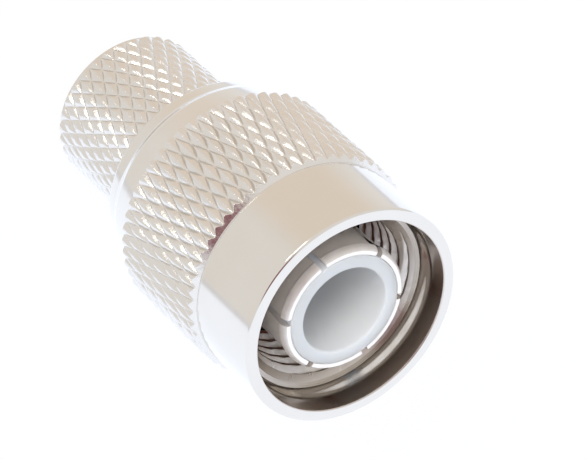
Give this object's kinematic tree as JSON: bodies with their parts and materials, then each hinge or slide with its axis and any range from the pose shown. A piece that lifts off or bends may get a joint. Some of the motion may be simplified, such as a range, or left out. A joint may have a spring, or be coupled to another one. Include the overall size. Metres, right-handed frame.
{
  "type": "threaded coaxial cable plug",
  "caption": "Straight crimp-type threaded coaxial plug: a knurled coupling nut turns on a body with a knurled crimp stem, round a slotted outer contact and a white insulator.",
  "frame": {"origin": "centre of the crimp stem's rear end face, where the cable enters and on which the plug stands", "axes": "+Z along the plug's axis, from the cable end to the mating mouth; X and Y are free, with a contact slot on +X"},
  "size_m": [0.015, 0.015, 0.0251],
  "materials": {
    "nickel_plate": "polished nickel plate over brass",
    "contact_plate": "bright nickel plate over springy bronze",
    "white_insulator": "smooth, slightly translucent white",
    "gasket_rubber": "matt",
    "ring_bronze": "satin bronze"
  },
  "bodies": {
    "body": {"crimp_body": "nickel_plate", "outer_contact": "contact_plate", "insulator": "white_insulator", "gasket": "gasket_rubber", "retaining_ring": "ring_bronze"},
    "nut": {"coupling_nut": "nickel_plate"}
  },
  "joints": [
    {"name": "nut_spin", "type": "hinge", "parent": "body", "child": "nut", "pos_m": [0, 0, 0.0168], "axis": [0, 0, 1], "continuous": true}
  ]
}
